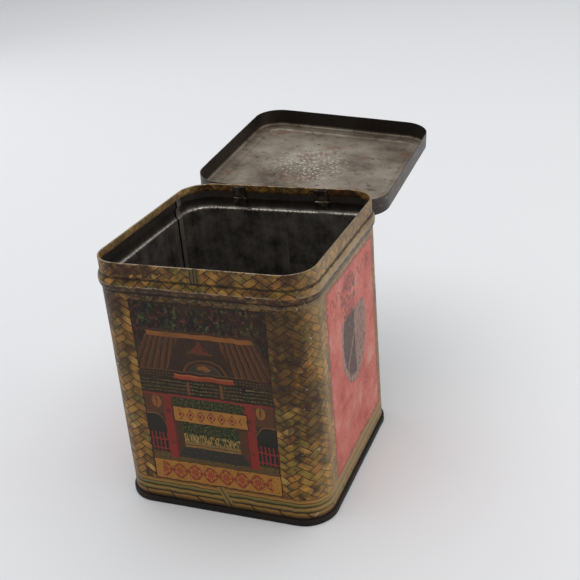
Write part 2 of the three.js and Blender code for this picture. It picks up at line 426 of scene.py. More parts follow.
def baseProfile():
    sheet, proud, height = base["sheet"], base["proud"], base["seamHeight"]
    chuck = -tin["wallSheet"] - base["seamGap"]
    bend = base["roundness"]
    top = base["panelRise"] + sheet
    under = [(-base["stepInset"] - sheet - base["step"], base["panelRise"] + base["step"]),
             (-base["stepInset"] - sheet, base["panelRise"]),
             (chuck - sheet, base["panelRise"])]
    seam = arcPoints(chuck - sheet + bend, bend, bend, 180, 270, 4) + \
        arcPoints(proud - bend, bend, bend, -90, 0, 5) + \
        arcPoints(proud - bend, height - bend, bend, 0, 90, 5) + \
        [(base["seamGap"], height), (base["seamGap"], height - sheet),
         (proud - 2 * sheet, height - sheet), (proud - sheet, height - 2 * sheet),
         (proud - sheet, sheet), (chuck, sheet)]
    panel = arcPoints(chuck - base["panelBend"], top - base["panelBend"], base["panelBend"], 0, 90, 3) + \
        [(-base["stepInset"], top), (-base["stepInset"] - base["step"], top + base["step"])]
    return under + seam + panel


def wearBase(mesh):
    for vert in mesh.verts:
        facing, out = wallFacing(vert.co)
        if out > 0.2 * mm:  # the seam is knocked inwards a little all round
            knock = (noise.noise(vert.co / (4 * mm)) + 1) / 2
            vert.co -= facing * base["knocks"] * knock
            vert.co.z -= base["knocks"] * knock * fade(vert.co.z, 1.6 * mm, 2.5 * mm)
        if out < -8 * mm:  # the panel isn't quite flat
            sag = base["sag"] * (noise.noise(vert.co / (17 * mm)) + 0.5)
            vert.co.z -= sag * fade(-out, 8 * mm, 11 * mm)


mesh = bmesh.new()
sweepRound(mesh, baseProfile(), closed=False)
fillPanels(mesh)
bmesh.ops.recalc_face_normals(mesh, faces=mesh.faces)
placeMap(mesh)
wearBase(mesh)
tinBase = finishPiece("seamed_base", mesh, "can", "base_end")
print("base shaped", len(tinBase.data.polygons))


# The lid, shaped shut and then laid open

lid = {
    "sheet": 0.3 * mm,
    "clearance": 0.5 * mm,
    "freeEdge": 93.6 * mm,
    "height": 7.7 * mm,
    "edgeRadius": 1.2 * mm,
    "stepInset": 5 * mm,
    "step": 0.6 * mm,
    "rollRadius": 0.9 * mm,
    "rollBore": 0.6 * mm,
    "rollLength": 49 * mm,
    "rollStart": 200,           # degrees round the wire: where the curl begins, and how far it goes
    "rollTurn": 345,
    "rollSteps": 22,
    "notchSide": 0.7 * mm,
    "notchTop": 0.35 * mm,
    "buckle": 0.3 * mm,
    "knocks": 0.14 * mm,
    "rubbedMiddle": (-4 * mm, 88 * mm, 96 * mm),  # the pale patch inside, as the lid lies open
    "paleReach": (22 * mm, 6 * mm),             # from where it fades in to where it is full
}
hinges = {joint["name"]: joint for joint in frame["joints"]}
wireMiddle = Vector(hinges["lid_swing"]["pos_m"])


def jointTurn(name):
    # the turn of a joint from rest to its upper limit
    joint = hinges[name]
    turn = Matrix.Rotation(math.radians(joint["range_deg"][1]), 4, Vector(joint["axis"]))
    at = Matrix.Translation(Vector(joint["pos_m"]))
    return at @ turn @ at.inverted()


layOpen = (jointTurn("hinge_sag") @ jointTurn("lid_swing")).inverted()  # from shut to the pose at rest


def lidProfile():
    inner, outer = lid["clearance"], lid["clearance"] + lid["sheet"]
    top = lid["freeEdge"] + lid["height"]
    bend = lid["edgeRadius"]
    under = top - lid["sheet"]
    return [(-lid["stepInset"] - lid["step"], under + lid["step"]), (-lid["stepInset"], under)] + \
        arcPoints(outer - bend, top - bend, bend - lid["sheet"], 90, 0, 6) + \
        rise(top - bend, lid["freeEdge"], inner)[1:] + \
        rise(lid["freeEdge"], top - bend, outer)[:-1] + \
        arcPoints(outer - bend, top - bend, bend, 0, 90, 8) + \
        [(-lid["stepInset"], top), (-lid["stepInset"] - lid["step"], top + lid["step"])]


def addRoll(mesh, left, right):
    # a length of the lid's rear edge, curled round the hinge wire
    start, end = lid["rollStart"], lid["rollStart"] - lid["rollTurn"]
    curl = arcPoints(wireMiddle.y, wireMiddle.z, lid["rollRadius"], start, end, lid["rollSteps"]) + \
        arcPoints(wireMiddle.y, wireMiddle.z, lid["rollBore"], end, start, lid["rollSteps"])
    pushLoop(mesh, [(left, y, z) for y, z in curl], (right - left, 0, 0), 6)


def wearLid(mesh):
    for vert in mesh.verts:
        facing, out = wallFacing(vert.co)
        clear = 1 if vert.co.y < halfDepth - 1 * mm else 0  # the hinge side stays true
        if out < -6 * mm:
            bulge = noise.noise(vert.co / (16 * mm) + Vector((0, 7.7, 0))) + 0.6
            vert.co.z -= lid["buckle"] * bulge * fade(-out, 6 * mm, 13 * mm)
        elif out > 0 and clear:
            knock = (noise.noise(vert.co / (6 * mm)) + 1) / 2
            vert.co -= facing * lid["knocks"] * knock * (1 - fade(vert.co.z, lidTop - 2 * mm, lidTop))


def lidLooksIn(face, at):
    underPanel = face.normal.z < -0.5 and at.z > lid["freeEdge"] + mm
    inSkirt = abs(face.normal.z) < 0.95 and face.normal.dot(wallFacing(at)[0]) < -0.1
    return underPanel or inSkirt


mesh = bmesh.new()
sweepRound(mesh, lidProfile(), closed=False)
fillPanels(mesh)
notches = [((low.x - lid["notchSide"], halfDepth + lid["clearance"] / 2, lid["freeEdge"] - 2 * mm),
            (high.x + lid["notchSide"], halfDepth + 4 * mm, high.z + lid["notchTop"]))
           for low, high in strapBoxes]
mesh = cutOut(mesh, notches)
lidTop = lid["freeEdge"] + lid["height"]
markInside(mesh, lidLooksIn)
notchSides = [x for low, high in notches for x in (low[0], high[0])]
rollEnds = [-lid["rollLength"] / 2, *notchSides, lid["rollLength"] / 2]
pan = set(mesh.faces)
for left, right in zip(rollEnds[::2], rollEnds[1::2]):
    addRoll(mesh, left, right)
bmesh.ops.recalc_face_normals(mesh, faces=[face for face in mesh.faces if face not in pan])
placeMap(mesh)
wearLid(mesh)
mesh.transform(layOpen)
tinLid = finishPiece("lid_pan", mesh, "lid", "lid")
print("lid shaped", len(tinLid.data.polygons))


# The printed wall: all its measures are in millimetres round the tin and up it

panel = {  # the picture on the front, in millimetres from the front's middle and from the ground
    "left": -26.4, "right": 25.2, "low": 11.2, "high": 86.0,
    "line": 0.38,
    "leaf": [(0.43, "#0e120c"), (0.5, "#1b2a1c"), (0.56, "#3c5234"), (0.64, "#85864e")],
    "bark": [(0.42, "#130e0b"), (0.51, "#2d1e17"), (0.59, "#553828"), (0.68, "#8a6742")],
    "roofRibs": [(0.0, "#2a1c14"), (0.2, "#553a25"), (0.45, "#80603b"), (0.6, "#4a3222"), (0.75, "#6e4f30"),
                 (1.0, "#2a1c14")],
    "red": "#9c3b35",
    "gold": "#c69a48",
    "dark": "#241b14",
    "varnish": "#e8d8d0",
}
panel["gate"] = [  # posts and their shaded edges, fittings, lintel and the board between them
    ((-18.6, -14.9, 21.4, 49.1), panel["red"]), ((13.4, 17.2, 21.4, 49.1), panel["red"]),
    ((-15.5, -14.9, 21.4, 49.1), "#7c2f2d"), ((13.4, 13.9, 21.4, 49.1), "#7c2f2d"),
    ((-17.6, -16.2, 40.8, 42.4), "#6a2a29"), ((14.4, 15.8, 40.8, 42.4), "#6a2a29"),
    ((-17.6, -16.2, 27.4, 28.8), "#7e3331"), ((14.4, 15.8, 27.4, 28.8), "#7e3331"),
    ((panel["left"], panel["right"], 48.2, 49.1), "#a53f3d"),
    ((-15.2, 14.4, 37.6, 44.4), panel["dark"]), ((-14.8, 14.0, 38.0, 44.0), panel["gold"]),
]
weave = {  # plaited bamboo: strips twice as long as wide, in millimetres
    "strip": 3.15,
    "steepness": 1.36,
    "strips": [(0.0, "#92702f"), (0.22, "#c29440"), (0.42, "#93813a"), (0.58, "#d09f49"),
               (0.74, "#a27033"), (0.9, "#dcb25e"), (1.0, "#717237")],
    "line": "#21170f",
}
side = {  # the plain red panel on each side, measured from the side's middle
    "left": -26.4, "right": 29.4, "low": 11.0, "high": 86.2,
    "line": 1.3,
    "reds": [(0.28, "#94463f"), (0.43, "#bb5f54"), (0.58, "#c4766b"), (0.74, "#cf9e92")],
}


def ellipse(tree, u, v, middleU, middleV, reachU, reachV):
    # 1 inside an ellipse, and how far out a point is as a share of the way to its edge
    du, dv = (add(tree, "Math MULTIPLY_ADD", (value, 1 / reach, -middle / reach))
              for value, middle, reach in ((u, middleU, reachU), (v, middleV, reachV)))
    spot = add(tree, "CombineXYZ", (du, dv))
    size = add(tree, "VectorMath LENGTH", (spot,), out="Value")
    return add(tree, "Math LESS_THAN", (size, 1.0)), size


def framed(tree, u, v, sizes):
    # a panel and the line round its edge
    left, right, low, high, line = (sizes[name] for name in ("left", "right", "low", "high", "line"))
    shown = block(tree, u, v, left, right, low, high)
    inside = block(tree, u, v, left + line, right - line, low + line, high - line)
    return shown, add(tree, "Math SUBTRACT", (shown, inside))


def wedge(tree, u, v, middle, top, slope):
    # distance under a pair of slopes that meet at the top: above 0 inside
    du = away(tree, u, middle)
    drop = add(tree, "Math MULTIPLY_ADD", (du, slope, v))
    return add(tree, "Math SUBTRACT", (top, drop))


def lozenges(tree, u, v, pitch, middle, reachU, reachV):
    # how far inside the nearest of a row of lozenges a point is
    du = away(tree, add(tree, "Math WRAP", (u, pitch / 2, -pitch / 2)))
    du = add(tree, "Math MULTIPLY", (du, 1 / reachU))
    dv = away(tree, v, middle)
    dv = add(tree, "Math MULTIPLY_ADD", (dv, 1 / reachV, du))
    return add(tree, "Math SUBTRACT", (1.0, dv))


def vine(tree, u, v, middle, sweep, pitch, stroke):
    # a waving stem
    turn = add(tree, "Math MULTIPLY", (u, 2 * math.pi / pitch))
    turn = add(tree, "Math SINE", (turn,))
    line = add(tree, "Math MULTIPLY_ADD", (turn, sweep, middle))
    return add(tree, "Math COMPARE", (v, line, stroke))


def rosettes(tree, u, v, pitch, middle, reach, petals):
    # how deep inside the nearest of a row of petalled flowers a point is, in millimetres
    du = add(tree, "Math WRAP", (u, pitch / 2, -pitch / 2))
    dv = add(tree, "Math SUBTRACT", (v, middle))
    turn = add(tree, "Math ARCTAN2", (dv, du))
    turn = add(tree, "Math MULTIPLY", (turn, petals))
    wave = add(tree, "Math COSINE", (turn,))
    edge = add(tree, "Math MULTIPLY_ADD", (wave, reach * 0.3, reach * 0.7))
    spot = add(tree, "CombineXYZ", (du, dv))
    size = add(tree, "VectorMath LENGTH", (spot,), out="Value")
    return add(tree, "Math SUBTRACT", (edge, size))


def repeats(tree, value, pitch, middle, reach):
    # 1 on evenly spaced bars
    share = add(tree, "Math MULTIPLY", (value, 1 / pitch))
    return band(tree, add(tree, "Math FRACT", (share,)), middle, reach)


def plaitedBamboo(tree, u, v):
    # herringbone plait: a and b run along the two slants, and every strip has a chance colour
    scale = 1 / (math.sqrt(2) * weave["strip"])
    steep = add(tree, "Math MULTIPLY", (v, weave["steepness"]))
    a, b = (overlap(tree, add(tree, "Math", (u, steep), operation=way), scale)
            for way in ("ADD", "SUBTRACT"))
    cellA, cellB = (add(tree, "Math FLOOR", (slant,)) for slant in (a, b))
    acrossA, acrossB = (add(tree, "Math FRACT", (slant,)) for slant in (a, b))
    phase = add(tree, "Math ADD", (cellA, cellB))
    phase = add(tree, "Math FLOORED_MODULO", (phase, 4.0))
    rising = add(tree, "Math LESS_THAN", (phase, 1.5))
    sums = [add(tree, "Math ADD", pair) for pair in ((a, cellB), (b, cellA))]
    alongA, alongB = (add(tree, "Math FLOORED_MODULO", (each, 4.0)) for each in sums)
    alongB = add(tree, "Math SUBTRACT", (alongB, 2.0))
    along = add(tree, "Mix", {0: rising, 2: alongB, 3: alongA}, data_type="FLOAT")
    across = add(tree, "Mix", {0: rising, 2: acrossA, 3: acrossB}, data_type="FLOAT")
    stepA = add(tree, "Math SUBTRACT", (cellA, overlap(tree, rising, phase)))
    stepB = add(tree, "Math SUBTRACT", (1.0, rising))
    phaseB = add(tree, "Math SUBTRACT", (phase, 2.0))
    stepB = add(tree, "Math SUBTRACT", (cellB, overlap(tree, stepB, phaseB)))
    name = add(tree, "CombineXYZ", (stepA, stepB, rising))
    chance = add(tree, "TexWhiteNoise", {"Vector": name}, noise_dimensions="3D")
    colour = add(tree, "ValToRGB", (chance,), stops=weave["strips"])
    sideways = away(tree, across, 0.5)
    endways = away(tree, along, 1.0)
    under = add(tree, "MapRange", (endways, 0.4, 1.05))
    shade = add(tree, "SeparateColor", (chance.node.outputs["Color"],), out=1)
    shade = add(tree, "ValToRGB", (shade,), stops=[(0.0, "#3c3d1e"), (0.5, "#4a3520"), (1.0, "#5b4a24")])
    fibre = repeats(tree, across, 0.27, 0.5, 0.09)
    edges = [add(tree, "Math GREATER_THAN", pair) for pair in ((sideways, 0.44), (endways, 0.94))]
    line = add(tree, "Math MAXIMUM", edges)
    flat = add(tree, "CombineXYZ", (u, v))
    blot = add(tree, "TexNoise", (flat, None, 0.17, 4.0, 0.6), out="Color")
    greenBlot = add(tree, "MapRange", (add(tree, "SeparateColor", (blot,)), 0.5, 0.66))
    brownBlot = add(tree, "MapRange", (add(tree, "SeparateColor", (blot,), out=1), 0.52, 0.66))
    smudge = add(tree, "TexNoise", (flat, None, 0.11, 8.0, 0.72))
    smudge = add(tree, "MapRange", (smudge, 0.52, 0.59))
    colour = over(tree, colour, [
        (under, shade, 0.6), (greenBlot, "#46502a", 0.75), (brownBlot, "#4e3220", 0.7),
        (fibre, "#4e371d", 0.6), (smudge, "#2b2417", 0.72), (line, weave["line"], 0.9)])
    return colour


def gardenPicture(tree, u, v, place):
    # a gateway in a garden, built up from the back like the printer's inks
    middle = -0.7
    strokes = add(tree, "VectorMath MULTIPLY", (place, (1.0, 0.7, 1.0)))
    leaves = add(tree, "TexNoise", (strokes, None, 0.62, 5.0, 0.7))
    groves = add(tree, "TexNoise", (place, None, 0.13, 2.0))
    leafy = add(tree, "MapRange", (groves, 0.47, 0.53))
    leaf = add(tree, "ValToRGB", (leaves,), stops=panel["leaf"])
    colour = add(tree, "ValToRGB", (leaves,), stops=panel["bark"])
    colour = over(tree, colour, [(leafy, leaf)])
    fine = add(tree, "TexNoise", (place, None, 1.4, 3.0))
    dabs = add(tree, "Math GREATER_THAN", (fine, 0.56))
    left, right = panel["left"], panel["right"]

    # roof: ribs that spread downwards, and a gable in its middle
    drop = add(tree, "Math SUBTRACT", (72.6, v))
    spread = add(tree, "Math MULTIPLY_ADD", (drop, 0.022, 1.0))
    rib = add(tree, "Math DIVIDE", (u, spread))
    onRoof = block(tree, rib, v, -22.0, 21.0, 59.0, 72.6)
    ribPhase = add(tree, "Math MULTIPLY", (rib, 1 / 2.05))
    ribPhase = add(tree, "Math FRACT", (ribPhase,))
    ribs = add(tree, "ValToRGB", (ribPhase,), stops=panel["roofRibs"])
    gable = wedge(tree, u, v, middle - 0.9, 88.5, 2.2)
    inGable = overlap(tree, add(tree, "Math GREATER_THAN", (gable, 0.0)), onRoof)
    gableLines = overlap(tree, repeats(tree, gable, 2.3, 0.5, 0.16), inGable)
    crest = wedge(tree, u, v, -1.1, 71.8, 1.3)
    crest = overlap(tree, add(tree, "Math GREATER_THAN", (crest, 0.0)), band(tree, v, 69.6, 2.2))
    crestDabs = overlap(tree, crest, dabs)
    arch, archSize = ellipse(tree, u, v, middle + 0.7, 58.8, 9.6, 6.6)
    arch = overlap(tree, arch, band(tree, v, 62.2, 3.2))
    archLines = overlap(tree, repeats(tree, archSize, 0.24, 0.5, 0.22), arch)
    fan, _ = ellipse(tree, u, v, -0.2, 58.8, 5.9, 3.9)
    fan = overlap(tree, fan, band(tree, v, 60.8, 1.8))
    oval, _ = ellipse(tree, u, v, -0.3, 61.1, 2.7, 1.15)
    colour = over(tree, colour, [
        ((-25.2, 20.6, 74.4, 75.4), "#4b3524"),
        (onRoof, ribs), (inGable, "#33251f"), (gableLines, "#4d3829"),
        ((-21.2, 19.4, 72.6, 74.4), "#a9773c"),
        (crest, "#8f4436"), (crestDabs, "#3f241c"),
        ((-6.2, 3.8, 66.7, 67.4), "#6d4a30"),
        (arch, "#2b2a22"), (archLines, "#735434"), (fan, "#33443a"),
        (oval, "#a9763f"), (overlap(tree, oval, dabs), "#5a3222"),
        ((left, right, 55.8, 59.0), "#2e2219"),
        ((left, right, 58.8, 59.2), "#755634"),
    ], (u, v))

    # fretwork, signless board and balcony
    fret = overlap(tree, repeats(tree, u, 1.25, 0.5, 0.22), repeats(tree, v, 1.1, 0.5, 0.24))
    fret = overlap(tree, fret, band(tree, v, 57.2, 1.4))
    board = wedge(tree, u, v, middle - 0.2, 76.6, 1.7)
    board = overlap(tree, add(tree, "Math GREATER_THAN", (board, 0.0)), band(tree, v, 57.0, 0.95))
    tiers = overlap(tree, repeats(tree, v, 1.42, 0.5, 0.2), band(tree, v, 52.4, 2.9))
    dashes = add(tree, "CombineXYZ", (u, v))
    dashes = add(tree, "VectorMath MULTIPLY", (dashes, (0.95, 0.35, 0.0)))
    dashes = add(tree, "TexNoise", (dashes, None, 1.6, 2.0), out="Color")
    inks = [add(tree, "SeparateColor", (dashes,), out=i) for i in (0, 1)]
    pale, green = (overlap(tree, tiers, add(tree, "Math GREATER_THAN", pair))
                   for pair in zip(inks, (0.5, 0.52)))
    colour = over(tree, colour, [
        (fret, "#6f6142"), (board, "#ad5636"), ((-12.4, 10.8, 57.4, 57.8), "#c98550"),
        ((left, right, 49.1, 55.6), "#231e18"),
        (pale, "#8a7d4c"), (green, "#4d6338"),
        ((-7.9, -6.9, 49.6, 54.8), "#8d5b36"),
        ((4.9, 5.9, 49.6, 55.2), "#9b6c3b"),
        ((left, right, 20.2, 49.1), "#4b3b29"),
    ], (u, v))

    # the side bays with their lanterns, arches and picket fences
    apart = away(tree, u, middle)
    fall = add(tree, "Math SUBTRACT", (21.6, apart))
    fall = add(tree, "Math MAXIMUM", (fall, 0.0))
    fall = add(tree, "Math POWER", (fall, 2.0))
    arcTop = add(tree, "Math MULTIPLY_ADD", (fall, -0.32, 39.9))
    below = add(tree, "Math LESS_THAN", (v, arcTop))
    lip = add(tree, "Math COMPARE", (v, arcTop, 0.42))
    inBay = band(tree, apart, 21.9, 4.0)
    opening = overlap(tree, below, inBay, band(tree, v, 32.0, 8.2))
    pickets = overlap(tree, repeats(tree, u, 1.62, 0.4, 0.17), band(tree, v, 28.0, 4.0))
    rails = add(tree, "Math MAXIMUM", (band(tree, v, 29.1, 0.28), band(tree, v, 25.0, 0.25)))
    fence = overlap(tree, add(tree, "Math MAXIMUM", (pickets, rails)), inBay)
    lanternLeft, lanternRight = (
        ellipse(tree, u, v, *spot)[0] for spot in ((-21.2, 45.4, 1.9, 2.7), (19.7, 45.6, 1.8, 2.5)))
    bayWall = overlap(tree, inBay, band(tree, v, 44.2, 4.0))
    bayDabs = overlap(tree, bayWall, dabs)
    colour = over(tree, colour, [
        (bayWall, "#644a2c"), (bayDabs, "#7c4a3a"), (overlap(tree, lip, inBay), "#a07c4a"),
        (lanternLeft, "#bb8148"), (lanternRight, "#b58a48"),
        ((-21.5, -20.9, 44.0, 48.0), "#7a4c2e"),
        ((19.4, 20.0, 44.2, 48.0), "#7a4c2e"),
        (opening, "#212c27"), (fence, panel["red"]),
    ], (u, v))

    # the gateway: garland, board, view through it, posts and path
    hedge = add(tree, "ValToRGB", (fine,), stops=[
        (0.35, "#141d12"), (0.5, "#2a4126"), (0.6, "#4c6a35"), (0.68, "#8a8a4c")])
    stalks = add(tree, "VectorMath MULTIPLY", (place, (1.9, 0.5, 1.0)))
    stalks = add(tree, "TexNoise", (stalks, None, 0.75, 2.0))
    flowers = add(tree, "Math GREATER_THAN", (stalks, 0.5))
    flowers = overlap(tree, flowers, block(tree, u, v, -12.0, 10.3, 29.2, 32.8))
    jewels = lozenges(tree, u, v, 4.14, 41.0, 1.75, 2.3)
    jewelOut = overlap(tree, add(tree, "Math GREATER_THAN", (jewels, 0.0)), band(tree, u, -0.4, 12.4))
    jewelIn = overlap(tree, band(tree, jewels, 0.42, 0.14), jewelOut)
    path = wedge(tree, u, v, middle, 42.6, 1.35)
    path = overlap(tree, add(tree, "Math GREATER_THAN", (path, 0.0)), band(tree, v, 24.7, 2.5))
    ripples = overlap(tree, path, repeats(tree, v, 0.9, 0.5, 0.14))
    ripples = overlap(tree, ripples, dabs)
    soil = overlap(tree, block(tree, u, v, left, right, 20.2, 23.4), dabs)
    colour = over(tree, colour, [
        ((-14.9, 13.4, 44.2, 48.1), hedge),
        ((-12.0, 10.3, 29.2, 37.8), hedge), (flowers, "#b9a866"),
        ((left, right, 20.2, 23.4), "#6e6237"), (soil, "#47442a"),
        ((-14.9, -12.0, 22.4, 37.8), "#563e2c"),
        ((10.3, 13.4, 22.4, 37.8), "#5f4430"),
        (path, "#343a34"), (ripples, "#5c5f50"),
        ((-12.0, 10.3, 27.1, 29.2), "#9c8650"),
        ((-12.0, 10.3, 28.0, 28.3), "#5d4c2e"),
        *panel["gate"], (jewelOut, "#8e3b30"), (jewelIn, "#d0a25a"),
    ], (u, v))

    # a band of scrolling stems along the foot
    inBand = block(tree, u, v, left, right, panel["low"], 20.2)
    pitch = 6.3
    stem = vine(tree, u, v, 15.8, 2.9, 2 * pitch, 0.5)
    counter = vine(tree, u, v, 15.8, -2.9, 2 * pitch, 0.5)
    shifted = add(tree, "Math ADD", (u, pitch / 2))
    flowers = rosettes(tree, shifted, v, pitch, 15.8, 2.9, 6.0)
    petals = add(tree, "Math GREATER_THAN", (flowers, 0.0))
    hearts = band(tree, flowers, 1.15, 0.3)
    stems = add(tree, "Math MAXIMUM", (stem, counter))
    inScroll = band(tree, u, -0.7, 3.5 * pitch)
    colour = over(tree, colour, [
        (inBand, panel["gold"]), (overlap(tree, inBand, dabs), "#a37f3c"),
        (overlap(tree, stems, inScroll), "#9c5a34"), (overlap(tree, petals, inScroll), "#a33c36"),
        (overlap(tree, hearts, petals, inScroll), "#c9974f"),
        ((left, right, 19.9, 20.3), "#6c5428"),
    ], (u, v))

    shown, edge = framed(tree, u, v, panel)
    colour = over(tree, colour, [(edge, panel["dark"])])
    return over(tree, colour, [(1.0, panel["varnish"])], blend="MULTIPLY"), shown


def redSide(tree, u, v, place):
    # a worn red panel with a shield-shaped medallion
    cloud = add(tree, "TexNoise", (place, None, 0.085, 8.0, 0.62))
    colour = add(tree, "ValToRGB", (cloud,), stops=side["reds"])
    rub = add(tree, "TexNoise", (place, None, 0.45, 6.0, 0.7))
    wearAndHighlight = add(tree, "MapRange", (rub, 0.55, 0.72))
    ragged = add(tree, "Math MULTIPLY_ADD", (rub, 4.4, -2.2))
    raggedU, raggedV = (add(tree, "Math ADD", (each, ragged)) for each in (u, v))
    shield, size = ellipse(tree, raggedU, raggedV, 2.6, 57.5, 14.6, 20.0)
    shield = overlap(tree, shield, add(tree, "Math LESS_THAN", (raggedV, 66.8)))
    rim = overlap(tree, shield, band(tree, size, 0.93, 0.05))
    dark = overlap(tree, shield, add(tree, "Math LESS_THAN", (u, 4.2)))
    dark = overlap(tree, dark, add(tree, "Math LESS_THAN", (size, 0.86)))
    spine = overlap(tree, shield, band(tree, u, 4.4, 0.45))
    vein = add(tree, "Math MULTIPLY_ADD", (v, -0.75, u))
    vein = overlap(tree, shield, band(tree, vein, -40.0, 0.6))
    buds = add(tree, "Math GREATER_THAN", (lozenges(tree, u, v, 3.7, 79.0, 0.9, 1.5), 0.0))
    scroll = add(tree, "Math MAXIMUM", (vine(tree, u, v, 79.0, 1.9, 7.4, 0.5), buds))
    scroll = overlap(tree, scroll, band(tree, u, 1.5, 24.0))
    hairline = overlap(tree, band(tree, v, 34.2, 0.3), band(tree, u, 1.0, 21.0))
    stain, _ = ellipse(tree, u, v, -2.0, 75.0, 9.0, 9.0)
    stain = overlap(tree, stain, add(tree, "MapRange", (rub, 0.46, 0.6)))
    colour = over(tree, colour, [
        (scroll, "#7b332f", 0.55), (hairline, "#7d3a35", 0.5), (shield, "#92796e"), (dark, "#55443d"),
        (rim, "#9b8377"), (spine, "#9a8477"), (vein, "#a08b80"),
        (overlap(tree, shield, add(tree, "MapRange", (rub, 0.5, 0.62))), "#4a3a33"), (stain, "#5b322b"),
        (wearAndHighlight, "#c79d90", 0.5),
    ])
    fray = add(tree, "Math MULTIPLY_ADD", (rub, 5.0, -2.5))
    frayU, frayV = (add(tree, "Math ADD", (each, fray)) for each in (u, v))
    shown, edge = framed(tree, frayU, frayV, side)
    scratches = add(tree, "VectorMath MULTIPLY", (place, (2.2, 0.16, 1.0)))
    scratches = add(tree, "TexNoise", (scratches, None, 0.7, 5.0, 0.7))
    scratches = add(tree, "MapRange", (scratches, 0.58, 0.7))
    slanting = add(tree, "Mapping", {"Vector": place, "Rotation": (0, 0, 0.62), "Scale": (2.6, 0.22, 1)})
    slanting = add(tree, "TexNoise", (slanting, None, 0.8, 4.0, 0.65))
    slanting = add(tree, "MapRange", (slanting, 0.6, 0.66))
    scratches = add(tree, "Math MAXIMUM", (scratches, slanting))
    return over(tree, colour, [(edge, "#6e4a3d", 0.6), (scratches, "#61352f", 0.55)]), shown


trim = {
    "rods": [  # the band of bamboo rods along the foot, from the ground up
        (0.0, "#3a2a18"), (0.12, "#7d5f30"), (0.28, "#b08a42"), (0.34, "#4a3a20"), (0.38, "#1f170e"),
        (0.42, "#7a6c38"), (0.52, "#a88a46"), (0.58, "#4a3c20"), (0.61, "#1f170e"), (0.65, "#5c6233"),
        (0.74, "#948244"), (0.79, "#1f170e"), (0.83, "#b58c45"), (0.94, "#7c5a2e"), (1.0, "#1f170e")],
    "rodsLow": 2.0,
    "rodsHigh": 11.4,
    "tieSlope": 0.45,      # the cord round the rods: its lean, middle and half width
    "tieMiddle": 5.2,
    "tieReach": 1.5,
    "line": "#2c2416",
}
age = {
    "stains": [            # each one's middle round the tin and up it, then its reach both ways
        (-17.0, 87.2, 12.0, 2.2), (31.0, 76.0, 8.0, 13.0), (39.0, 44.0, 4.5, 9.0), (38.0, 52.0, 5.0, 14.0),
        (30.0, 57.0, 6.0, 8.0), (4.0, 87.4, 16.0, 1.6), (-34.0, 84.0, 7.0, 6.0)],
    "stainInk": 0.66,      # how strongly a stain covers the print
    "rust": (-24.0, 97.0, 15.0, 5.2),  # the blotch on the neck, as above
    "varnish": "#f0e3dc",
    "bareMetal": "#9a8d78",
    "relief": 0.06 * mm,
}


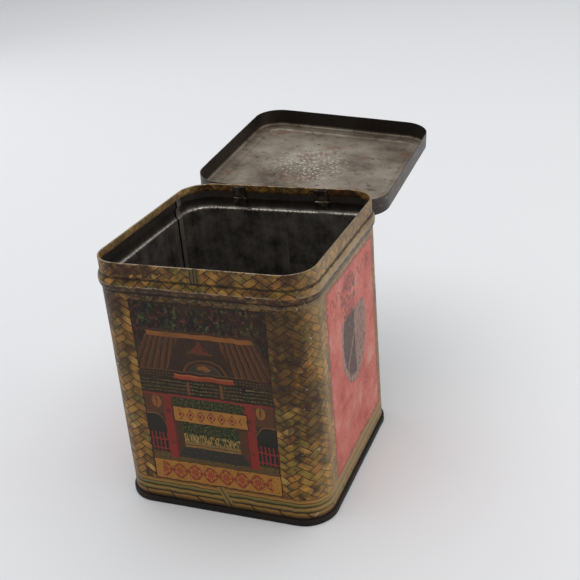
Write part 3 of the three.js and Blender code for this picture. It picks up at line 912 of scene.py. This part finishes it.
def lithographedTinplate():
    # lithographed tinplate: thin inks and a yellowed varnish over bright metal, so colours
    # stay dull and warm, with a soft gloss and metal showing wherever the print has rubbed off
    ink, tree = newMaterial("lithographed tinplate")
    place = add(tree, "UVMap", uv_map=tin["placeMap"])
    wobble = add(tree, "TexNoise", (place, None, 0.3, 3.0), out="Color")
    wobble = add(tree, "VectorMath SUBTRACT", (wobble, (0.5, 0.5, 0.5)))
    drawn = add(tree, "VectorMath MULTIPLY_ADD", (wobble, (1.1, 1.1, 0.0), place))
    around = add(tree, "SeparateXYZ", (drawn,))
    v = add(tree, "SeparateXYZ", (drawn,), out=1)
    reach = quarter / mm
    u = add(tree, "Math WRAP", (around, reach, -reach))
    sideU = add(tree, "Math SUBTRACT", (around, reach))
    sideU = add(tree, "Math WRAP", (sideU, reach, -reach))

    colour = plaitedBamboo(tree, u, v)
    rods = add(tree, "MapRange", (v, trim["rodsLow"], trim["rodsHigh"]))
    rods = add(tree, "ValToRGB", (rods,), stops=trim["rods"])
    wraps = add(tree, "Math MULTIPLY_ADD", (v, 0.9, u))
    wraps = overlap(tree, repeats(tree, wraps, 11.0, 0.5, 0.035), band(tree, v, 4.0, 1.6))
    tie = add(tree, "Math MULTIPLY_ADD", (v, trim["tieSlope"], u))
    tieFoot = overlap(tree, band(tree, tie, trim["tieMiddle"], trim["tieReach"]), band(tree, v, 6.8, 4.4))
    tieFootLine = overlap(tree, band(tree, tie, trim["tieMiddle"], 0.22), tieFoot)
    tieNeck = overlap(tree, band(tree, u, 0.9, 1.9), band(tree, v, 97.0, 3.4))
    tieNeckLine = overlap(tree, repeats(tree, u, 1.27, 0.5, 0.16), tieNeck)
    rodsShown = band(tree, v, 5.4, 5.7)
    colour = over(tree, colour, [
        (rodsShown, rods), (wraps, "#2a2014"), (tieFoot, "#8b7c42"),
        (tieFootLine, trim["line"]), (tieNeck, "#655a30"), (tieNeckLine, trim["line"])])
    # the print worn pale near the corners, towards each side panel, with a painted sheen over it: stronger
    # above the panels, weaker on the neck
    fadedAndSheen = add(tree, "MapRange", (away(tree, sideU), 43.0, 30.0, 0.0, 0.48))
    above = add(tree, "MapRange", (v, 80.0, 89.0, 0.8, 1.9))
    neck = add(tree, "MapRange", (v, 93.0, 94.5, 1.0, 0.45))
    fadedAndSheen = overlap(tree, fadedAndSheen, above, neck)
    colour = over(tree, colour, [(fadedAndSheen, "#ab9c78")])
    picture, shown = gardenPicture(tree, u, v, place)
    colour = over(tree, colour, [(shown, picture)])
    red, redShown = redSide(tree, sideU, v, place)
    colour = over(tree, colour, [(redShown, red)])

    # age: browned varnish, dark stains where the tin was handled, rust specks, rubbed metal; and painted
    # shade where the bead meets the wall
    cloud = add(tree, "TexNoise", (place, None, 0.055, 9.0, 0.68))
    browned = add(tree, "MapRange", (cloud, 0.38, 0.72, 0.0, 0.75))
    browned = overlap(tree, browned, add(tree, "MapRange", (v, 14.0, 50.0, 0.15)))
    grit = add(tree, "TexNoise", (place, None, 0.5, 8.0, 0.75))
    soft = add(tree, "Math MULTIPLY_ADD", (grit, 2.6, -0.9))
    stains = 0.0
    for spot in age["stains"]:
        _, size = ellipse(tree, u, v, *spot)
        size = add(tree, "Math SUBTRACT", (size, soft))
        stain = add(tree, "MapRange", (size, 0.95, 0.35, 0.0, age["stainInk"]))
        stains = add(tree, "Math MAXIMUM", (stains, stain))
    notSide = add(tree, "Math SUBTRACT", (1.0, redShown))
    _, blotch = ellipse(tree, u, v, *age["rust"])
    blotch = add(tree, "Math SUBTRACT", (-0.9, blotch))
    blotch = add(tree, "Math MULTIPLY_ADD", (grit, 3.4, blotch))
    blotch = add(tree, "MapRange", (blotch, 0.0, 0.3, 0.0, 0.84))
    top, foot = beadTop / mm, beadBottom / mm  # of the bead
    belly = add(tree, "MapRange", (grit, 0.4, 0.55, 0.35, 0.8))
    belly = overlap(tree, band(tree, v, foot + 1.2, 0.9), belly)
    dust = overlap(tree, band(tree, v, foot - 1.3, 0.65), add(tree, "MapRange", (grit, 0.5, 0.56)))
    specks = add(tree, "MapRange", (grit, 0.64, 0.69))
    bite = add(tree, "TexVoronoi", {"Vector": place, "Scale": 0.33}, out="Distance")
    bite = add(tree, "MapRange", (bite, 0.13, 0.08))
    bite = overlap(tree, bite, add(tree, "MapRange", (cloud, 0.5, 0.54)))
    # painted shade: dark lines where the bead meets the wall, above it and below it, broken up by grit
    creaseShade = add(tree, "Math MAXIMUM", (band(tree, v, top + 0.1, 0.42), band(tree, v, foot - 0.15, 0.45)))
    creaseShade = overlap(tree, creaseShade, add(tree, "MapRange", (grit, 0.35, 0.6, 0.95, 0.5)))
    underBead = overlap(tree, band(tree, v, foot + 0.4, 1.9), add(tree, "MapRange", (grit, 0.4, 0.58)))
    soot = add(tree, "MapRange", (v, 5.2, 2.4, 0.0, 0.92))
    colour = over(tree, colour, [
        (overlap(tree, browned, notSide), "#4b3826"), (overlap(tree, stains, notSide), "#2c1c17"),
        (blotch, "#38211d"), (belly, "#46302a"), (overlap(tree, underBead, notSide), "#2b1c14", 0.75),
        (overlap(tree, dust, notSide), "#8f8262", 0.6), (creaseShade, "#19120d"), (soot, "#1d140e"),
        (specks, "#3f2619"), (bite, "#2e1c13")])
    colour = over(tree, colour, [(1.0, age["varnish"])], blend="MULTIPLY")

    crest = add(tree, "MapRange", (away(tree, v, (top + foot) / 2), 0.7, 0.15, 0.0, 0.42))
    rimWear = add(tree, "MapRange", (v, rimZ / mm - 0.6, rimZ / mm - 0.1, 0.0, 0.48))
    rubs = add(tree, "Math MAXIMUM", (crest, rimWear))
    rubs = add(tree, "Math ADD", (rubs, grit))
    bare = add(tree, "MapRange", (rubs, 0.86, 1.02))
    flecks = add(tree, "TexNoise", (place, None, 0.9, 4.0, 0.6))
    bare = add(tree, "Math MAXIMUM", (bare, add(tree, "MapRange", (flecks, 0.70, 0.735))))
    cornerMiddle = (straightX + tin["cornerRadius"] * math.pi / 4) / mm
    corner = add(tree, "MapRange", (away(tree, away(tree, u), cornerMiddle), 9.0, 2.0, 0.0, 0.125))
    scrapes = add(tree, "TexNoise", (place, None, 0.34, 7.0, 0.68))
    scrapes = add(tree, "Math ADD", (scrapes, corner))
    scrapes = add(tree, "MapRange", (scrapes, 0.74, 0.8))
    colour = over(tree, colour, [(scrapes, "#a89f8c"), (bare, age["bareMetal"])])
    metallic = add(tree, "MapRange", (bare, 0.0, 1.0, 0.1, 0.85))
    rough = add(tree, "MapRange", (grit, 0.3, 0.75, 0.34, 0.62))
    height = add(tree, "Math MULTIPLY_ADD", (specks, -0.6, grit))
    closeMaterial(tree, colour, metallic, rough, height, age["relief"], Specular_IOR_Level=0.25)
    return ink


def tarnishedInside():
    # bare tinplate gone dull: grey-brown metal with streaks drawn up it and darker blooms, with a painted
    # highlight along the bead's inner hollow and painted shade above it
    metal, tree = newMaterial("tarnished tinplate")
    place = add(tree, "UVMap", uv_map=tin["placeMap"])
    drawnOut = add(tree, "VectorMath MULTIPLY", (place, (0.3, 0.012, 1.0)))
    streaks = add(tree, "TexNoise", (drawnOut, None, 1.0, 6.0, 0.6))
    blooms = add(tree, "TexNoise", (place, None, 0.11, 8.0, 0.65))
    mixed = add(tree, "Mix", {0: 0.75, 2: streaks, 3: blooms}, data_type="FLOAT")
    colour = add(tree, "ValToRGB", (mixed,), stops=[
        (0.35, "#3d3732"), (0.45, "#716b65"), (0.54, "#97918a"), (0.66, "#bcb5ac")])
    v = add(tree, "SeparateXYZ", (place,), out=1)
    # painted shade: the inside of the neck, above the bead, is darkened
    neck = add(tree, "MapRange", (v, beadBottom / mm + 0.7, beadBottom / mm + 1.3, 0.0, 0.78))
    specks = add(tree, "TexNoise", (place, None, 0.8, 5.0, 0.7))
    rust = add(tree, "MapRange", (specks, 0.6, 0.68))
    lapPlace = roundTheTin(Vector((-halfWidth, wall["lapMiddle"], 0))) / mm
    lapHalf = wall["lapWidth"] / 2 / mm
    around = add(tree, "SeparateXYZ", (place,))
    solder = band(tree, around, lapPlace, lapHalf)
    solder = overlap(tree, solder, add(tree, "MapRange", (specks, 0.3, 0.6)))
    lapEdge = band(tree, around, lapPlace + lapHalf, 0.35)
    # painted highlight: a thin pale line along the lower edge of the bead's inner hollow, broken up by
    # specks
    grooveHighlight = add(tree, "MapRange", (specks, 0.42, 0.54))
    grooveHighlight = overlap(tree, band(tree, v, beadBottom / mm + 0.1, 0.5), grooveHighlight)
    colour = over(tree, colour, [
        (neck, "#443d37"), (rust, "#37231a"), (grooveHighlight, "#cfc7bb"), (solder, "#c2baad"),
        (lapEdge, "#1b1511")])
    metallic = add(tree, "MapRange", (rust, 0.0, 1.0, 0.8, 0.1))
    rough = add(tree, "MapRange", (mixed, 0.35, 0.65, 0.46, 0.26))
    closeMaterial(tree, colour, metallic, rough, streaks, 0.1 * mm)
    return metal


def blackenedSeam():
    # the rolled seam and base: black lacquer over tinplate, rusted along its edges
    lacquer, tree = newMaterial("rusted black lacquer")
    place = add(tree, "TexCoord", out="Object")
    grit = add(tree, "TexNoise", (place, None, 420.0, 7.0, 0.7))
    cloud = add(tree, "TexNoise", (place, None, 70.0, 6.0, 0.6))
    colour = add(tree, "ValToRGB", (cloud,), stops=[
        (0.35, "#0b0908"), (0.5, "#15100d"), (0.62, "#281a14"), (0.75, "#3d2c1f")])
    worn = add(tree, "MapRange", (grit, 0.64, 0.7))
    colour = over(tree, colour, [(worn, "#6b5c4c")])
    metallic = add(tree, "MapRange", (worn, 0.0, 1.0, 0.0, 0.8))
    rough = add(tree, "MapRange", (cloud, 0.3, 0.7, 0.4, 0.68))
    closeMaterial(tree, colour, metallic, rough, grit, 0.09 * mm, Specular_IOR_Level=0.22)
    return lacquer


def lidOutside():
    # the lid's outer face: dark brown-black lacquer, scuffed grey
    lacquer, tree = newMaterial("scuffed dark lacquer")
    place = add(tree, "TexCoord", out="Object")
    cloud = add(tree, "TexNoise", (place, None, 60.0, 8.0, 0.65))
    scuffs = add(tree, "VectorMath MULTIPLY", (place, (1.0, 0.12, 1.0)))
    scuffs = add(tree, "TexNoise", (scuffs, None, 900.0, 4.0))
    colour = add(tree, "ValToRGB", (cloud,), stops=[
        (0.35, "#1f1a17"), (0.5, "#332b26"), (0.62, "#4b4039"), (0.72, "#6a6058")])
    scuffed = add(tree, "MapRange", (scuffs, 0.6, 0.7))
    colour = over(tree, colour, [(scuffed, "#7d7468", 0.5)])
    rough = add(tree, "MapRange", (cloud, 0.3, 0.7, 0.3, 0.55))
    closeMaterial(tree, colour, 0.35, rough, cloud, 0.1 * mm)
    return lacquer


def lidInside():
    # the lid's inner face: dull greyish tinplate with rust freckles and a pale rubbed middle
    metal, tree = newMaterial("freckled tinplate")
    place = add(tree, "TexCoord", out="Object")
    printed = add(tree, "UVMap", uv_map=tin["placeMap"])
    height = add(tree, "SeparateXYZ", (printed,), out=1)
    cloud = add(tree, "TexNoise", (place, None, 45.0, 9.0, 0.62))
    colour = add(tree, "ValToRGB", (cloud,), stops=[
        (0.34, "#4f4336"), (0.44, "#74685a"), (0.54, "#8a7f70"), (0.7, "#a0978a")])
    rust = add(tree, "TexNoise", (place, None, 75.0, 7.0, 0.7), out="Color")
    rust = add(tree, "MapRange", (add(tree, "SeparateColor", (rust,), out=2), 0.53, 0.64))
    freckles = add(tree, "TexNoise", (place, None, 260.0, 5.0, 0.65))
    freckled = add(tree, "MapRange", (freckles, 0.585, 0.66))
    pale = add(tree, "TexNoise", (place, None, 800.0, 3.0))
    pale = add(tree, "MapRange", (pale, 0.56, 0.6))
    middle = add(tree, "VectorMath SUBTRACT", (place, lid["rubbedMiddle"]))
    middle = add(tree, "VectorMath LENGTH", (middle,), out="Value")
    middle = add(tree, "MapRange", (middle, *lid["paleReach"], 0.0, 0.7))
    pale = overlap(tree, pale, middle)
    skirt = add(tree, "MapRange", (height, lidTop / mm - 0.6, lidTop / mm - 1.7, 0.0, 0.94))
    colour = over(tree, colour, [
        (rust, "#6b4a34", 0.72), (freckled, "#3f2e21", 0.75), (pale, "#d6d2c2"), (skirt, "#211a15")])
    rough = add(tree, "MapRange", (cloud, 0.3, 0.7, 0.55, 0.38))
    closeMaterial(tree, colour, 0.55, rough, freckles, 0.06 * mm)
    return metal


strap = {
    "highlightAt": 0.42,          # where the painted highlight across its bend lies, as a share of the strap's height
    "paleReach": 0.25 * mm,
}


def hingeSteel():
    # soft steel strip and wire, browned all over, with a painted highlight across the straps' bend
    steel, tree = newMaterial("browned steel")
    place = add(tree, "TexCoord", out="Object")
    cloud = add(tree, "TexNoise", (place, None, 500.0, 6.0, 0.65))
    colour = add(tree, "ValToRGB", (cloud,), stops=[
        (0.35, "#1d1814"), (0.5, "#3a3029"), (0.65, "#6b6054")])
    # painted highlight: a pale band across the straps' tails inside the tin, where light catches their
    # bend, broken up by the cloud
    low, high = (corner.z for corner in strapBoxes[0])
    height = add(tree, "SeparateXYZ", (place,), out=2)
    wearAndHighlight = band(tree, height, low + (high - low) * strap["highlightAt"], strap["paleReach"])
    inward = add(tree, "SeparateXYZ", (place,), out=1)
    inward = add(tree, "Math LESS_THAN", (inward, halfDepth))
    wearAndHighlight = overlap(tree, wearAndHighlight, inward, add(tree, "MapRange", (cloud, 0.4, 0.52)))
    colour = over(tree, colour, [(wearAndHighlight, "#e0c8a0")])
    rough = add(tree, "MapRange", (cloud, 0.3, 0.7, 0.6, 0.35))
    closeMaterial(tree, colour, 0.7, rough, cloud, 0.05 * mm)
    return steel


tinWall.data.materials.append(lithographedTinplate())
tinWall.data.materials.append(tarnishedInside())
tinBase.data.materials.append(blackenedSeam())
tinLid.data.materials.append(lidOutside())
tinLid.data.materials.append(lidInside())
steel = hingeSteel()
for name in ("hinge_wire", "hinge_strap_left", "hinge_strap_right"):
    frame["nodes"][name].material_slots[0].material = steel
print("finishes made", len(bpy.data.materials))


# Camera, floor and lights

view = {
    "from": (0.1419, -0.2991, 0.2224),
    "towards": (0.0001, 0.0417, 0.0532),
    "tilt": -5.05,          # the camera's roll, in degrees
    "lens": 59.31,
    "floorReach": 4.0,
    "floorColour": "#e4e5e6",
    "roomColour": "#f4f6f8",
    "roomStrength": 0.42,
    "lamps": [  # place, aim, size in metres, watts, colour
        ((0.00, 0.22, 1.70), (0.00, 0.03, 0.0), 2.60, 28.4, "#fdfdff"),
        ((0.80, 0.05, 0.16), (0.0, 0.02, 0.06), 0.34, 1.9, "#fffaf4"),
        ((-0.90, 0.30, 0.40), (-0.03, 0.0, 0.06), 0.70, 1.3, "#fdfdff"),
    ],
}


def aimAt(thing, place, target, tilt=0.0):
    look = (Vector(target) - Vector(place)).to_track_quat("-Z", "Y").to_matrix().to_4x4()
    roll = Matrix.Rotation(math.radians(tilt), 4, "Z")
    thing.matrix_world = Matrix.Translation(Vector(place)) @ look @ roll


cameraData = bpy.data.cameras.new("camera")
cameraData.lens = view["lens"]
cameraData.sensor_width = 36
cameraData.clip_start = 0.01
camera = newObject("camera", cameraData)
aimAt(camera, view["from"], view["towards"], view["tilt"])
scene.camera = camera

for i, (place, target, size, watts, colour) in enumerate(view["lamps"]):
    lampData = bpy.data.lights.new(f"softbox{i}", "AREA")
    lampData.shape = "SQUARE"
    lampData.size = size
    lampData.energy = watts
    lampData.color = linear(colour)[:3]
    aimAt(newObject(f"softbox{i}", lampData), place, target)

world = bpy.data.worlds.new("room")
scene.world = world
world.use_nodes = True
room = world.node_tree.nodes["Background"]
room.inputs["Color"].default_value = linear(view["roomColour"])
room.inputs["Strength"].default_value = view["roomStrength"]

mesh = bmesh.new()
bmesh.ops.create_grid(mesh, x_segments=8, y_segments=8, size=view["floorReach"])
floorData = bpy.data.meshes.new("floor")
mesh.to_mesh(floorData)
mesh.free()
floor = newObject("floor", floorData)
paper, tree = newMaterial("matt paper sweep")  # matt paper: no highlight, barely any grain
grain = add(tree, "TexNoise", {"Scale": 700.0, "Detail": 3.0})
closeMaterial(tree, view["floorColour"], 0.0, 0.9, grain, 0.02 * mm)
floorData.materials.append(paper)
print("stage set")
